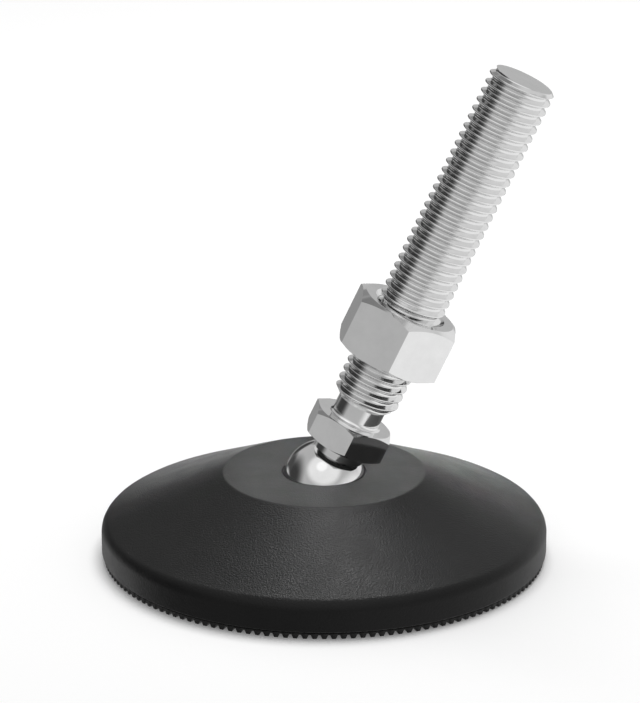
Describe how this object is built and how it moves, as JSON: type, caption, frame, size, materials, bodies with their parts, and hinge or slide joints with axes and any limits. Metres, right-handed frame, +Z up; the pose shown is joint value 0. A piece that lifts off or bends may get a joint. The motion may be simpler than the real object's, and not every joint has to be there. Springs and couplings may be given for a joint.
{
  "type": "levelling foot",
  "caption": "Articulated levelling foot: round ribbed plastic base with a rubber pad, tilting ball-ended threaded stud and hexagon lock nut.",
  "frame": {"origin": "centre of the sole, on the surface that the foot stands on", "axes": "+Z up through the centre of the base, +X towards the side that the stud leans to"},
  "size_m": [0.08, 0.08, 0.09],
  "materials": {
    "base_plastic": "fine grained black moulding",
    "pad_rubber": "matt black rubber with moulded teeth",
    "stud_steel": "bright turned steel with a rolled thread",
    "nut_steel": "bright machined steel"
  },
  "bodies": {
    "base": {"base_plate": "base_plastic", "anti_slip_pad": "pad_rubber"},
    "stud": {"ball_stud": "stud_steel"},
    "nut": {"lock_nut": "nut_steel"}
  },
  "joints": [
    {"name": "stud_tilt", "type": "hinge", "parent": "base", "child": "stud", "pos_m": [0, 0, 0.0138], "axis": [0, 1, 0], "range_deg": [-50, 0]},
    {"name": "nut_travel", "type": "slide", "parent": "stud", "child": "nut", "axis": [0.4226, 0, 0.9063], "range_m": [-0.007, 0.0455]}
  ]
}
